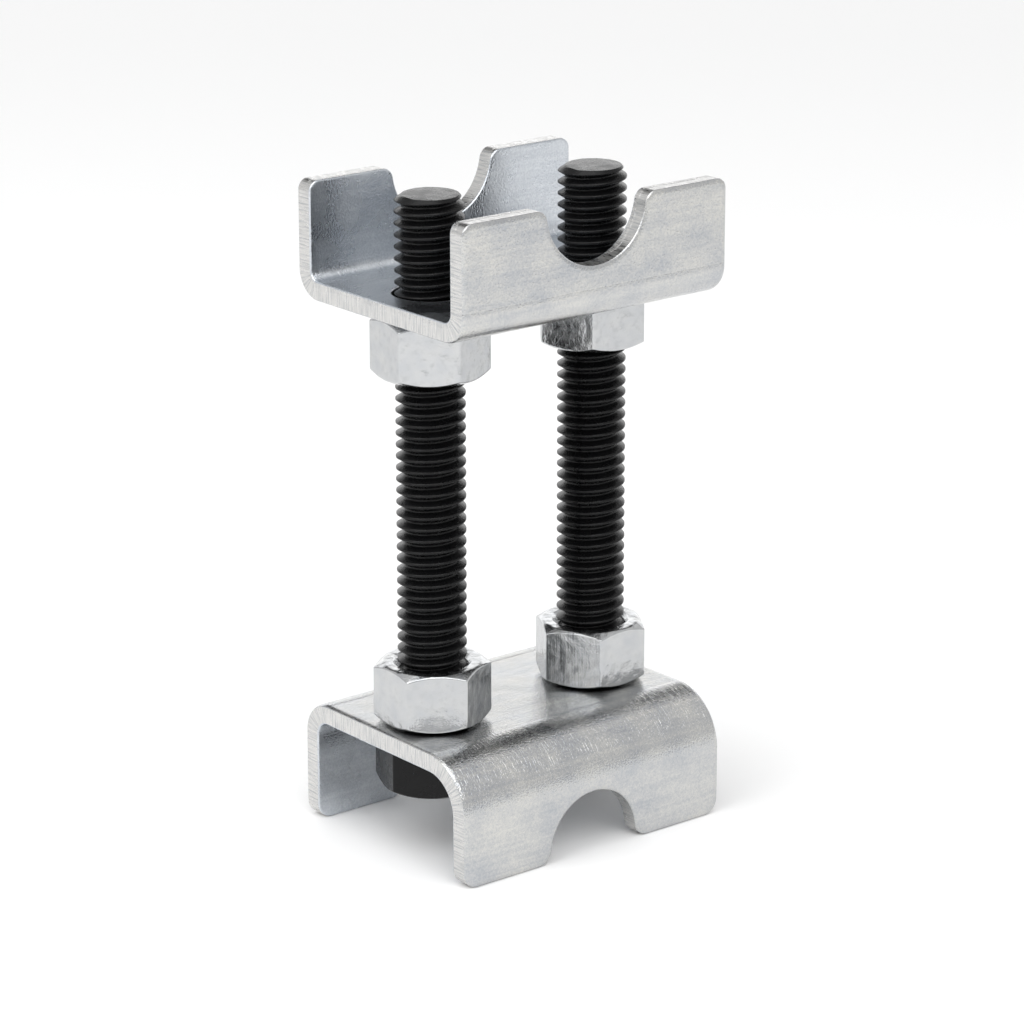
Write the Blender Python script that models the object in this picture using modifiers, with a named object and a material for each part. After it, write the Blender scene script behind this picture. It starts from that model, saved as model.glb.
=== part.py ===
"""Coil spring spreader: two folded steel channels held apart by two long bolts and their nuts.

The tool stands on the feet of its lower channel. +Z is up, +X runs along the channels through
both bolts, and +Y runs across them. The origin is on the floor, midway between the bolts.
"""

import math

import bmesh
import bpy
from mathutils import Matrix

MM = 0.001

# Fasteners: 1/2 in by 4 in bolts and 3/4 in hexagons, at the sizes they measure as made
THREAD_DIAMETER = 12.5 * MM
SHANK_LENGTH = 101.2 * MM
ACROSS_FLATS = 18.6 * MM
HEAD_HEIGHT = 8.2 * MM
NUT_HEIGHT = 11.0 * MM
TIP_CHAMFER = 1.0 * MM
HEX_CHAMFER_ANGLE = math.radians(30)
CHAMFER_CIRCLE = 0.96 * ACROSS_FLATS
CORNER_RADIUS = ACROSS_FLATS / math.sqrt(3)

# Both channels are folded from the same plate and share one plan size
PLATE = 3.7 * MM
CHANNEL_LENGTH = 59.5 * MM
CHANNEL_WIDTH = 47.3 * MM
BOLT_SPACING = 37.1 * MM

# Lower channel: feet down, with an arch in each flange. Its -Y bend is the rounder one
LOWER_HEIGHT = 23.1 * MM
LOWER_NEAR_BEND = 10.5 * MM
LOWER_FAR_BEND = 6.5 * MM
LOWER_CORNER = 3.0 * MM
LOWER_NOTCH_RADIUS = 9.9 * MM
LOWER_NOTCH_DROP = 1.6 * MM
LOWER_LIP = 3.0 * MM

# Upper channel: flanges up, with a half-round seat in each flange
UPPER_WEB_HEIGHT = 99.0 * MM
UPPER_HEIGHT = 21.5 * MM
UPPER_BEND = 5.5 * MM
UPPER_CORNER = 2.0 * MM
UPPER_NOTCH_RADIUS = 11.3 * MM
UPPER_NOTCH_DROP = 0.1 * MM
UPPER_LIP = 2.2 * MM

# Room between pieces
REST_GAP = 0.3 * MM
HOLE_CLEARANCE = 0.5 * MM
BORE_CLEARANCE = 0.3 * MM
COUNTERSINK = 1.0 * MM

# How far each hexagon is turned about its bolt, from a corner on +X
NUT_TURN = {
    "jam_nut_front": math.radians(27.5),
    "jam_nut_rear": math.radians(0.8),
    "adjusting_nut_front": math.radians(21.4),
    "adjusting_nut_rear": math.radians(51.9),
}
HEAD_TURN = {"bolt_front": math.radians(10), "bolt_rear": math.radians(40)}

# How far a cutter reaches past what it cuts
OVERCUT = 2 * PLATE

# Finishes: linear colour, roughness and metallic value
ZINC_COLOUR = (0.74, 0.76, 0.78)
ZINC_ROUGHNESS = 0.3
ZINC_METALLIC = 1.0
BLACK_COLOUR = (0.02, 0.02, 0.022)
BLACK_ROUGHNESS = 0.35
BLACK_METALLIC = 0.6

# Fineness
BEND_STEPS = 6
CORNER_STEPS = 4
NOTCH_STEPS = 20
ROUND_STEPS = 40
SMOOTH_ANGLE = math.radians(35)
MERGE = 0.01 * MM

BOLT_X = {"front": -BOLT_SPACING / 2, "rear": BOLT_SPACING / 2}
JAM_NUT_Z = LOWER_HEIGHT + REST_GAP
ADJUSTING_NUT_Z = UPPER_WEB_HEIGHT - REST_GAP - NUT_HEIGHT
HEAD_TOP_Z = LOWER_HEIGHT - PLATE - REST_GAP

# Turning an outline drawn in its own XY plane so that it is pushed out along a world axis
ALONG_X = Matrix(((0, 0, 1), (1, 0, 0), (0, 1, 0))).to_4x4()
ALONG_Y = Matrix(((1, 0, 0), (0, 0, -1), (0, 1, 0))).to_4x4()


def clear_scene():
    """Remove whatever the scene holds."""
    for old in list(bpy.data.objects):
        bpy.data.objects.remove(old, do_unlink=True)


def new_collection(name):
    """A collection linked to the scene."""
    collection = bpy.data.collections.new(name)
    bpy.context.scene.collection.children.link(collection)
    return collection


def make_material(name, colour, roughness, metallic):
    """A Principled material."""
    material = bpy.data.materials.new(name)
    material.use_nodes = True
    shader = material.node_tree.nodes["Principled BSDF"]
    shader.inputs["Base Color"].default_value = (*colour, 1.0)
    shader.inputs["Roughness"].default_value = roughness
    shader.inputs["Metallic"].default_value = metallic
    return material


def zinc_plate(name):
    """Bright zinc plating."""
    return make_material(name, ZINC_COLOUR, ZINC_ROUGHNESS, ZINC_METALLIC)


def black_oxide(name):
    """Blackened, lightly oiled steel."""
    return make_material(name, BLACK_COLOUR, BLACK_ROUGHNESS, BLACK_METALLIC)


def add_object(name, mesh, collection, place=Matrix.Identity(4)):
    """An object for a mesh, in one collection."""
    thing = bpy.data.objects.new(name, mesh)
    thing.matrix_world = place
    collection.objects.link(thing)
    return thing


def as_tool(thing):
    """Mark an object as a cutter, which is not part of the tool."""
    thing.hide_render = True
    thing.display_type = "WIRE"
    return thing


def arc(centre, radius, start, end, steps):
    """Points along an arc, both ends included."""
    angles = [start + (end - start) * i / steps for i in range(steps + 1)]
    return [
        (centre[0] + radius * math.cos(a), centre[1] + radius * math.sin(a)) for a in angles
    ]


def channel_section(height, near_bend, far_bend):
    """The outline of a U-shaped section, web's outer face on y = 0, flanges up, near side at -x.

    The bends are outer radii. The flanges stop a little past the height, where the flange
    outline trims them.
    """
    top = height + OVERCUT

    def side(bend, radius):
        centre = (CHANNEL_WIDTH / 2 - bend, bend)
        points = arc(centre, radius, -math.pi / 2, 0, BEND_STEPS)
        return points + [(points[-1][0], top)]

    far = side(far_bend, far_bend) + side(far_bend, far_bend - PLATE)[::-1]
    near = side(near_bend, near_bend) + side(near_bend, near_bend - PLATE)[::-1]
    return far + [(-x, y) for x, y in reversed(near)]


def flange_outline(height, corner, notch_radius, notch_drop, lip):
    """The side view of a channel, web at the bottom, with the notch in the middle of the top.

    The notch's centre lies notch_drop below the top edge. Its lips and the outer top corners
    are rounded.
    """
    end = CHANNEL_LENGTH / 2
    centre_y = height - notch_drop
    lip_y = height - lip
    lip_x = math.sqrt((notch_radius + lip) ** 2 - (lip_y - centre_y) ** 2)
    lean = math.atan2(lip_y - centre_y, lip_x)
    right_lip = arc((lip_x, lip_y), lip, math.pi + lean, math.pi / 2, CORNER_STEPS)
    left_lip = [(-x, y) for x, y in reversed(right_lip)]
    notch = arc((0, centre_y), notch_radius, -math.pi - lean, lean, NOTCH_STEPS)[1:-1]
    right_corner = arc((end - corner, height - corner), corner, math.pi / 2, 0, CORNER_STEPS)
    left_corner = [(-x, y) for x, y in reversed(right_corner)]
    foot = [(end, -OVERCUT), (-end, -OVERCUT)]
    return left_lip + notch + right_lip + right_corner + foot + left_corner


def outline_mesh(name, points, depth, turn):
    """A flat outline pushed out to a depth, half each way, as a closed mesh turned into place."""
    curve = bpy.data.curves.new(name, "CURVE")
    curve.dimensions = "2D"
    curve.fill_mode = "BOTH"
    curve.extrude = depth / 2
    spline = curve.splines.new("POLY")
    spline.points.add(len(points) - 1)
    for spot, (x, y) in zip(spline.points, points):
        spot.co = (x, y, 0, 1)
    spline.use_cyclic_u = True
    guide = bpy.data.objects.new(name, curve)
    bpy.context.scene.collection.objects.link(guide)
    guide.matrix_world = turn
    bpy.context.view_layer.update()
    depsgraph = bpy.context.evaluated_depsgraph_get()
    mesh = bpy.data.meshes.new_from_object(guide.evaluated_get(depsgraph))
    mesh.transform(guide.matrix_world)
    bpy.data.objects.remove(guide, do_unlink=True)
    shape = bmesh.new()
    shape.from_mesh(mesh)
    bmesh.ops.remove_doubles(shape, verts=shape.verts, dist=MERGE)
    bmesh.ops.recalc_face_normals(shape, faces=shape.faces)
    shape.to_mesh(mesh)
    shape.free()
    return mesh


def turned_object(name, profile, collection):
    """A turned body: a profile of (radius, height) points, top to bottom, spun about Z."""
    mesh = bpy.data.meshes.new(name)
    shape = bmesh.new()
    corners = [shape.verts.new((radius, 0, height)) for radius, height in profile]
    for first, second in zip(corners, corners[1:]):
        shape.edges.new((first, second))
    shape.to_mesh(mesh)
    shape.free()
    body = add_object(name, mesh, collection)
    spin = body.modifiers.new("Turn", "SCREW")
    spin.steps = ROUND_STEPS
    spin.render_steps = ROUND_STEPS
    spin.use_merge_vertices = True
    spin.merge_threshold = MERGE
    return body


def hexagon_mesh(name, height):
    """A hexagonal bar, corner on +X, standing on z = 0."""
    mesh = bpy.data.meshes.new(name)
    shape = bmesh.new()
    bmesh.ops.create_cone(
        shape,
        cap_ends=True,
        segments=6,
        radius1=CORNER_RADIUS,
        radius2=CORNER_RADIUS,
        depth=height,
        matrix=Matrix.Translation((0, 0, height / 2)) @ Matrix.Rotation(math.pi / 2, 4, "Z"),
    )
    shape.to_mesh(mesh)
    shape.free()
    return mesh


def boolean(target, tool, operation):
    """Add an exact Boolean to a target."""
    step = target.modifiers.new(tool.name, "BOOLEAN")
    step.object = tool
    step.operation = operation
    step.solver = "EXACT"


def settled_mesh(thing):
    """The mesh that an object's modifiers give, round faces smooth and corners sharp."""
    bpy.context.view_layer.update()
    depsgraph = bpy.context.evaluated_depsgraph_get()
    mesh = bpy.data.meshes.new_from_object(thing.evaluated_get(depsgraph))
    shape = bmesh.new()
    shape.from_mesh(mesh)
    bmesh.ops.remove_doubles(shape, verts=shape.verts, dist=MERGE)
    shape.to_mesh(mesh)
    shape.free()
    mesh.shade_smooth()
    mesh.set_sharp_from_angle(angle=SMOOTH_ANGLE)
    return mesh


def finish(thing, material):
    """Swap an object's modifiers for their result and give it its material."""
    mesh = settled_mesh(thing)
    thing.modifiers.clear()
    thing.data = mesh
    thing.data.materials.clear()
    thing.data.materials.append(material)
    return thing


def chamfer_profile(height, bottom, top):
    """The turned body that takes a hexagon's corners off at the chosen ends."""
    flat = CHAMFER_CIRCLE / 2
    reach = CORNER_RADIUS + REST_GAP
    drop = (reach - flat) * math.tan(HEX_CHAMFER_ANGLE)
    upper = [(0, height), (flat, height), (reach, height - drop)]
    lower = [(reach, drop), (flat, 0), (0, 0)]
    if not top:
        upper = [(0, height + OVERCUT), (reach, height + OVERCUT)]
    if not bottom:
        lower = [(reach, -OVERCUT), (0, -OVERCUT)]
    return upper + lower


def make_bracket(name, section, outline, place, parts, tools):
    """A folded plate with its notched flanges and two bolt holes, turned and lifted into place."""
    body = add_object(
        name, outline_mesh(name, section, CHANNEL_LENGTH, ALONG_X), parts, place
    )
    trim_mesh = outline_mesh(name + "_trim", outline, 2 * CHANNEL_WIDTH, ALONG_Y)
    trim = as_tool(add_object(name + "_trim", trim_mesh, tools, place))
    boolean(body, trim, "INTERSECT")
    hole_radius = THREAD_DIAMETER / 2 + HOLE_CLEARANCE
    profile = [(0, OVERCUT), (hole_radius, OVERCUT), (hole_radius, -OVERCUT), (0, -OVERCUT)]
    for end, x in BOLT_X.items():
        hole = as_tool(turned_object(f"{name}_{end}_hole", profile, tools))
        hole.matrix_world = place @ Matrix.Translation((x, 0, 0))
        boolean(body, hole, "DIFFERENCE")
    return finish(body, zinc_plate(name))


def make_lower_bracket(parts, tools):
    """The lower channel, web up, standing on its feet.

    It is built web down and given half a turn about X, which swaps its near and far bends.
    """
    section = channel_section(LOWER_HEIGHT, LOWER_FAR_BEND, LOWER_NEAR_BEND)
    outline = flange_outline(
        LOWER_HEIGHT, LOWER_CORNER, LOWER_NOTCH_RADIUS, LOWER_NOTCH_DROP, LOWER_LIP
    )
    place = Matrix.Translation((0, 0, LOWER_HEIGHT)) @ Matrix.Rotation(math.pi, 4, "X")
    return make_bracket("lower_bracket", section, outline, place, parts, tools)


def make_upper_bracket(parts, tools):
    """The upper channel, web down, flanges up."""
    section = channel_section(UPPER_HEIGHT, UPPER_BEND, UPPER_BEND)
    outline = flange_outline(
        UPPER_HEIGHT, UPPER_CORNER, UPPER_NOTCH_RADIUS, UPPER_NOTCH_DROP, UPPER_LIP
    )
    place = Matrix.Translation((0, 0, UPPER_WEB_HEIGHT))
    return make_bracket("upper_bracket", section, outline, place, parts, tools)


def make_bolt(name, x, parts, tools):
    """A hex-head bolt, head down, its tip chamfered. The shank is the thread's outer cylinder.

    The shank starts halfway up inside the head, so that the two join as one body.
    """
    place = Matrix.Translation((x, 0, HEAD_TOP_Z - HEAD_HEIGHT))
    turn = Matrix.Rotation(HEAD_TURN[name], 4, "Z")
    bolt = add_object(name, hexagon_mesh(name, HEAD_HEIGHT), parts, place @ turn)
    corners = turned_object(
        name + "_chamfer", chamfer_profile(HEAD_HEIGHT, bottom=True, top=False), tools
    )
    radius = THREAD_DIAMETER / 2
    tip = HEAD_HEIGHT + SHANK_LENGTH
    shank_profile = [
        (0, tip),
        (radius - TIP_CHAMFER, tip),
        (radius, tip - TIP_CHAMFER),
        (radius, HEAD_HEIGHT / 2),
        (0, HEAD_HEIGHT / 2),
    ]
    shank = turned_object(name + "_shank", shank_profile, tools)
    for tool, operation in ((corners, "INTERSECT"), (shank, "UNION")):
        as_tool(tool).matrix_world = place
        boolean(bolt, tool, operation)
    return finish(bolt, black_oxide(name))


def make_nut(name, x, z, parts, tools):
    """A hex nut, chamfered on both faces, with a countersunk bore that clears the thread."""
    place = Matrix.Translation((x, 0, z))
    turn = Matrix.Rotation(NUT_TURN[name], 4, "Z")
    nut = add_object(name, hexagon_mesh(name, NUT_HEIGHT), parts, place @ turn)
    corners = turned_object(
        name + "_chamfer", chamfer_profile(NUT_HEIGHT, bottom=True, top=True), tools
    )
    bore = THREAD_DIAMETER / 2 + BORE_CLEARANCE
    mouth = bore + COUNTERSINK + OVERCUT
    bore_profile = [
        (0, NUT_HEIGHT + OVERCUT),
        (mouth, NUT_HEIGHT + OVERCUT),
        (bore, NUT_HEIGHT - COUNTERSINK),
        (bore, COUNTERSINK),
        (mouth, -OVERCUT),
        (0, -OVERCUT),
    ]
    hole = turned_object(name + "_bore", bore_profile, tools)
    for tool, operation in ((corners, "INTERSECT"), (hole, "DIFFERENCE")):
        as_tool(tool).matrix_world = place
        boolean(nut, tool, operation)
    return finish(nut, zinc_plate(name))


def main():
    """Build the tool."""
    clear_scene()
    parts = new_collection("coil_spring_spreader")
    tools = new_collection("cutters")
    make_lower_bracket(parts, tools)
    make_upper_bracket(parts, tools)
    for end, x in BOLT_X.items():
        make_bolt("bolt_" + end, x, parts, tools)
        make_nut("jam_nut_" + end, x, JAM_NUT_Z, parts, tools)
        make_nut("adjusting_nut_" + end, x, ADJUSTING_NUT_Z, parts, tools)


main()
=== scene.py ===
"""Looks of the coil spring spreader: zinc-plated channels and nuts on two black bolts.

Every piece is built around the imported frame, which gives the place and size of each part. The
classes follow the tool: folded channels, hexagon nuts, threaded bolts, and the studio around it.
"""

import logging
import math
from dataclasses import dataclass
from enum import Enum

import bmesh
import bpy
from mathutils import Matrix, Vector


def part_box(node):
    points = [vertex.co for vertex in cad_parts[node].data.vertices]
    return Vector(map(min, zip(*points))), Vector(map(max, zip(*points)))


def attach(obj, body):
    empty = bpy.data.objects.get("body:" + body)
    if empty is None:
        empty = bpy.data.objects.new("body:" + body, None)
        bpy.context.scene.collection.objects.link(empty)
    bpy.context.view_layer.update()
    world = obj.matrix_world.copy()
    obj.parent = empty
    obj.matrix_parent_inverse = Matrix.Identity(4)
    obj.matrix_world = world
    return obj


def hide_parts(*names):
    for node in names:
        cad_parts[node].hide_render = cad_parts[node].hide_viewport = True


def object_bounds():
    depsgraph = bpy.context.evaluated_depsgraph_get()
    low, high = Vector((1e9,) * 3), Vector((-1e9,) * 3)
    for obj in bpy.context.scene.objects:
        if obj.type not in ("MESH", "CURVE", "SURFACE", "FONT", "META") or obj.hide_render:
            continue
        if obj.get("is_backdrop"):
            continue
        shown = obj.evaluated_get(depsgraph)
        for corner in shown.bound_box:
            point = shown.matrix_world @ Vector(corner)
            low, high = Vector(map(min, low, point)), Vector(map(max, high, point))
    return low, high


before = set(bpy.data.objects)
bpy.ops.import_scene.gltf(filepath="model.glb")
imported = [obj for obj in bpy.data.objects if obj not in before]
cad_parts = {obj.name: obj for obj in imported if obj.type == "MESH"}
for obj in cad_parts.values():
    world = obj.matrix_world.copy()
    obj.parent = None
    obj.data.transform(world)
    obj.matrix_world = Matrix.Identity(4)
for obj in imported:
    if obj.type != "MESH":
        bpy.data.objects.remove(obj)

MM = 0.001
SLIVER = 0.001 * MM  # lengths below this count as nothing
FLOOR_GAP = 0.02 * MM  # keeps the floor clear of the feet, which are flat on z = 0
log = logging.getLogger("spreader")

# Attributes that the meshes carry and the finishes read
SHEET = "sheet"  # where a point lay on the flat blank, and how deep in the plate
CUT = "cut_edge"  # 1 on the cut edges of a blank
CREST = "crest"  # 1 on a thread's crest, 0 at its root

# How far each hexagon is turned about its bolt, in degrees
NUT_TURNS = {
    "jam_nut_front": 27.5,
    "jam_nut_rear": 0.8,
    "adjusting_nut_front": 21.4,
    "adjusting_nut_rear": 51.9,
}
HEAD_TURNS = {"bolt_front": 10.0, "bolt_rear": 40.0}

Point = tuple[float, float]
Point3 = tuple[float, float, float]
Colour = tuple[float, float, float, float]

NONE_TO_ALL: Point = (0.0, 1.0)
MID_TONES: Point = (0.35, 0.65)  # where most of a noise's values lie
WIDE_TONES: Point = (0.3, 0.7)


class Slot(Enum):
    """The record's material slots."""

    BRACKET = "bracket_zinc"
    NUT = "nut_zinc"
    BOLT = "bolt_black"


class WebSide(Enum):
    """Where a channel's web lies as the tool stands."""

    TOP = -1.0
    BOTTOM = 1.0


# Small tools shared by the pieces


def linear(code: str) -> Colour:
    """Turn an sRGB hex colour into linear values.

    Args:
        code: the colour as "#rrggbb".

    Returns:
        Linear red, green, blue and an alpha of one.
    """
    parts = [int(code[i : i + 2], 16) / 255 for i in (1, 3, 5)]
    turned = [c / 12.92 if c <= 0.04045 else ((c + 0.055) / 1.055) ** 2.4 for c in parts]
    return (turned[0], turned[1], turned[2], 1.0)


def per_metre(size_mm: float) -> float:
    """The scale that gives a pattern features of about this size in millimetres."""
    return 1 / (size_mm * MM)


def add_node(
    tree: bpy.types.NodeTree, kind: str, inputs: dict | None = None, **settings: object
) -> bpy.types.Node:
    """Add a node, set it up and link it.

    Args:
        tree: the tree that the node joins.
        kind: the node's type name.
        inputs: socket name or index to a value, or to the socket that feeds it.
        settings: attributes of the node itself.

    Returns:
        The new node.
    """
    node = tree.nodes.new(kind)
    for name, value in settings.items():
        setattr(node, name, value)
    for key, value in (inputs or {}).items():
        if isinstance(value, bpy.types.NodeSocket):
            tree.links.new(value, node.inputs[key])
        else:
            node.inputs[key].default_value = value
    return node


def arc(centre: Point, radius: float, start: float, end: float, steps: int) -> list[Point]:
    """Points along an arc, both ends included.

    Args:
        centre: the arc's centre.
        radius: its radius.
        start: the first angle, in radians.
        end: the last angle.
        steps: how many chords it has.

    Returns:
        The points in order.
    """
    angles = [start + (end - start) * i / steps for i in range(steps + 1)]
    return [
        (centre[0] + radius * math.cos(a), centre[1] + radius * math.sin(a)) for a in angles
    ]


def soften(points: list[Point], radius: float, steps: int) -> list[Point]:
    """Round the inner corners of an open outline.

    Args:
        points: the outline's corners.
        radius: how far before and after a corner the rounding runs.
        steps: how many chords each rounding has.

    Returns:
        The rounded outline.
    """
    rounded = [points[0]]
    for before, corner, after in zip(points, points[1:], points[2:]):
        middle = Vector(corner)
        reach_in, reach_out = Vector(before) - middle, Vector(after) - middle
        start = middle + reach_in.normalized() * min(radius, reach_in.length / 2)
        end = middle + reach_out.normalized() * min(radius, reach_out.length / 2)
        for i in range(steps + 1):
            t = i / steps
            spot = start * (1 - t) ** 2 + middle * 2 * t * (1 - t) + end * t**2
            rounded.append((spot.x, spot.y))
    return rounded + [points[-1]]


def band(shape: bmesh.types.BMesh, lower: list, upper: list) -> list:
    """Join two closed loops of equal count with a ring of quads.

    Args:
        shape: the shape that holds both loops.
        lower: the first loop.
        upper: the second loop.

    Returns:
        The new faces.
    """
    nexts = zip(lower, lower[1:] + lower[:1], upper[1:] + upper[:1], upper)
    return [shape.faces.new(corners) for corners in nexts]


def loop_edges(shape: bmesh.types.BMesh, loop: list) -> list:
    """The edges along a closed loop of vertices."""
    return [shape.edges.get((a, b)) for a, b in zip(loop, loop[1:] + loop[:1])]


def fill_flat(shape: bmesh.types.BMesh, loops: list[list]) -> None:
    """Fill a flat region bounded by one outer loop and any holes.

    Args:
        shape: the shape that holds the loops.
        loops: the loops, each a list of vertices in order.
    """
    edges = [edge for loop in loops for edge in loop_edges(shape, loop)]
    bmesh.ops.triangle_fill(shape, use_beauty=True, edges=edges)


def piece_from(shape: bmesh.types.BMesh, name: str, material: bpy.types.Material) -> bpy.types.Object:
    """Turn a bmesh into a finished piece with smooth faces and flat flats.

    Args:
        shape: the closed shape, in its final place. It is freed.
        name: the piece's name.
        material: its finish.

    Returns:
        The piece, at the origin, linked to the scene.
    """
    bmesh.ops.dissolve_degenerate(shape, dist=SLIVER, edges=shape.edges)
    bmesh.ops.recalc_face_normals(shape, faces=shape.faces)
    if shape.calc_volume(signed=True) < 0:
        bmesh.ops.reverse_faces(shape, faces=shape.faces)
    mesh = bpy.data.meshes.new(name)
    shape.to_mesh(mesh)
    shape.free()
    mesh.materials.append(material)
    mesh.shade_smooth()
    thing = bpy.data.objects.new(name, mesh)
    bpy.context.scene.collection.objects.link(thing)
    return weigh_normals(thing)


def weigh_normals(thing: bpy.types.Object) -> bpy.types.Object:
    """Let large faces rule the shading, so that flats look flat beside their small roundings.

    Args:
        thing: the object, whose mesh is replaced.

    Returns:
        The same object, with no modifier left on it.
    """
    thing.modifiers.new("Weigh normals", "WEIGHTED_NORMAL").keep_sharp = True
    bpy.context.view_layer.update()
    graph = bpy.context.evaluated_depsgraph_get()
    settled = bpy.data.meshes.new_from_object(
        thing.evaluated_get(graph), preserve_all_data_layers=True, depsgraph=graph
    )
    thing.modifiers.clear()
    thing.data = settled
    return thing


def settle(piece: bpy.types.Object, body: str) -> None:
    """Hand a finished piece to the frame: it rides on its body and stands for that CAD node.

    Args:
        piece: the finished piece.
        body: the body it rides on, which has the same name as its node.
    """
    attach(piece, body)
    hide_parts(body)
    log.info("%s: %d faces, rides on %s", piece.name, len(piece.data.polygons), body)


# Finishes


def link_up(shader: bpy.types.Node, tree: bpy.types.NodeTree, **sockets: object) -> None:
    """Set or feed the shader's inputs, whose names are given with _ for a space.

    Args:
        shader: the Principled shader.
        tree: its tree.
        sockets: a value, or the socket that feeds it, for each input.
    """
    for name, value in sockets.items():
        socket = shader.inputs[name.replace("_", " ")]
        if isinstance(value, bpy.types.NodeSocket):
            tree.links.new(value, socket)
        else:
            socket.default_value = value


def new_finish(name: str) -> tuple[bpy.types.Material, bpy.types.NodeTree, bpy.types.Node]:
    """Start a material.

    Args:
        name: what the finish is.

    Returns:
        The material, its tree and its Principled shader.
    """
    made = bpy.data.materials.new(name)
    made.use_nodes = True
    return made, made.node_tree, made.node_tree.nodes["Principled BSDF"]


def noise(
    tree: bpy.types.NodeTree, place: bpy.types.NodeSocket, size_mm: Point3, detail: float = 2.0
) -> bpy.types.NodeSocket:
    """Cloudy noise with its own size along each axis.

    Args:
        tree: the material's tree.
        place: the coordinates, in metres.
        size_mm: the size of its features along x, y and z.
        detail: how many finer layers it has.

    Returns:
        The noise, around a half.
    """
    stretched = add_node(
        tree,
        "ShaderNodeMapping",
        {"Vector": place, "Scale": tuple(per_metre(size) for size in size_mm)},
        vector_type="POINT",
    )
    cloud = add_node(
        tree,
        "ShaderNodeTexNoise",
        {"Vector": stretched.outputs["Vector"], "Scale": 1.0, "Detail": detail},
    )
    return cloud.outputs["Fac"]


def remap(
    tree: bpy.types.NodeTree,
    value: bpy.types.NodeSocket,
    source: Point,
    target: Point,
    smooth: bool = False,
) -> bpy.types.NodeSocket:
    """Carry a value from one range to another, held at the ends.

    Args:
        tree: the tree.
        value: what is carried.
        source: the range it comes from.
        target: the range it goes to.
        smooth: True for soft ends.

    Returns:
        The carried value.
    """
    return add_node(
        tree,
        "ShaderNodeMapRange",
        {
            "Value": value,
            "From Min": source[0],
            "From Max": source[1],
            "To Min": target[0],
            "To Max": target[1],
        },
        interpolation_type="SMOOTHSTEP" if smooth else "LINEAR",
    ).outputs["Result"]


def reckon(tree: bpy.types.NodeTree, operation: str, *values: object) -> bpy.types.NodeSocket:
    """One step of arithmetic.

    Args:
        tree: the tree.
        operation: the step's name, as the Math node has it.
        values: numbers or sockets.

    Returns:
        The result.
    """
    step = add_node(tree, "ShaderNodeMath", dict(enumerate(values)), operation=operation)
    return step.outputs[0]


def blend_colours(
    tree: bpy.types.NodeTree, share: bpy.types.NodeSocket, first: object, second: object
) -> bpy.types.NodeSocket:
    """Mix two colours.

    Args:
        tree: the tree.
        share: how much of the second there is.
        first: a colour or a socket.
        second: a colour or a socket.

    Returns:
        The mixed colour.
    """
    mixed = add_node(
        tree,
        "ShaderNodeMix",
        {"Factor": share, 6: first, 7: second},
        data_type="RGBA",
    )
    return mixed.outputs[2]


def blend_values(
    tree: bpy.types.NodeTree, share: bpy.types.NodeSocket, first: object, second: object
) -> bpy.types.NodeSocket:
    """Mix two values.

    Args:
        tree: the tree.
        share: how much of the second there is.
        first: a number or a socket.
        second: a number or a socket.

    Returns:
        The mixed value.
    """
    mixed = add_node(tree, "ShaderNodeMix", {"Factor": share, "A": first, "B": second})
    return mixed.outputs["Result"]


def raised(tree: bpy.types.NodeTree, height: bpy.types.NodeSocket) -> bpy.types.NodeSocket:
    """Turn a relief into the way the surface faces.

    Args:
        tree: the material's tree.
        height: the relief, in millimetres.

    Returns:
        The surface normal.
    """
    bump = add_node(tree, "ShaderNodeBump", {"Height": height, "Distance": MM, "Strength": 1.0})
    return bump.outputs["Normal"]


@dataclass(frozen=True)
class Pattern:
    """Cloudy noise used as a tone or as relief, with its sizes in millimetres."""

    size_mm: Point3
    depth_mm: float = 0.0
    detail: float = 2.0

    def tone(
        self, tree: bpy.types.NodeTree, place: bpy.types.NodeSocket
    ) -> bpy.types.NodeSocket:
        """The pattern as a value around a half.

        Args:
            tree: the material's tree.
            place: the coordinates, in metres.

        Returns:
            The value.
        """
        return noise(tree, place, self.size_mm, self.detail)

    def relief(
        self, tree: bpy.types.NodeTree, place: bpy.types.NodeSocket
    ) -> bpy.types.NodeSocket:
        """The pattern as a height.

        Args:
            tree: the material's tree.
            place: the coordinates, in metres.

        Returns:
            The height, in millimetres.
        """
        return reckon(tree, "MULTIPLY", self.tone(tree, place), self.depth_mm)


def even(size_mm: float, depth_mm: float = 0.0, detail: float = 2.0) -> Pattern:
    """A pattern of the same size every way."""
    return Pattern((size_mm, size_mm, size_mm), depth_mm, detail)


# The real grain, draw lines and shear marks are finer than a third of a millimetre. They are drawn
# as coarse as that on purpose, because finer ones would vanish at the size the tool is seen.


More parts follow.
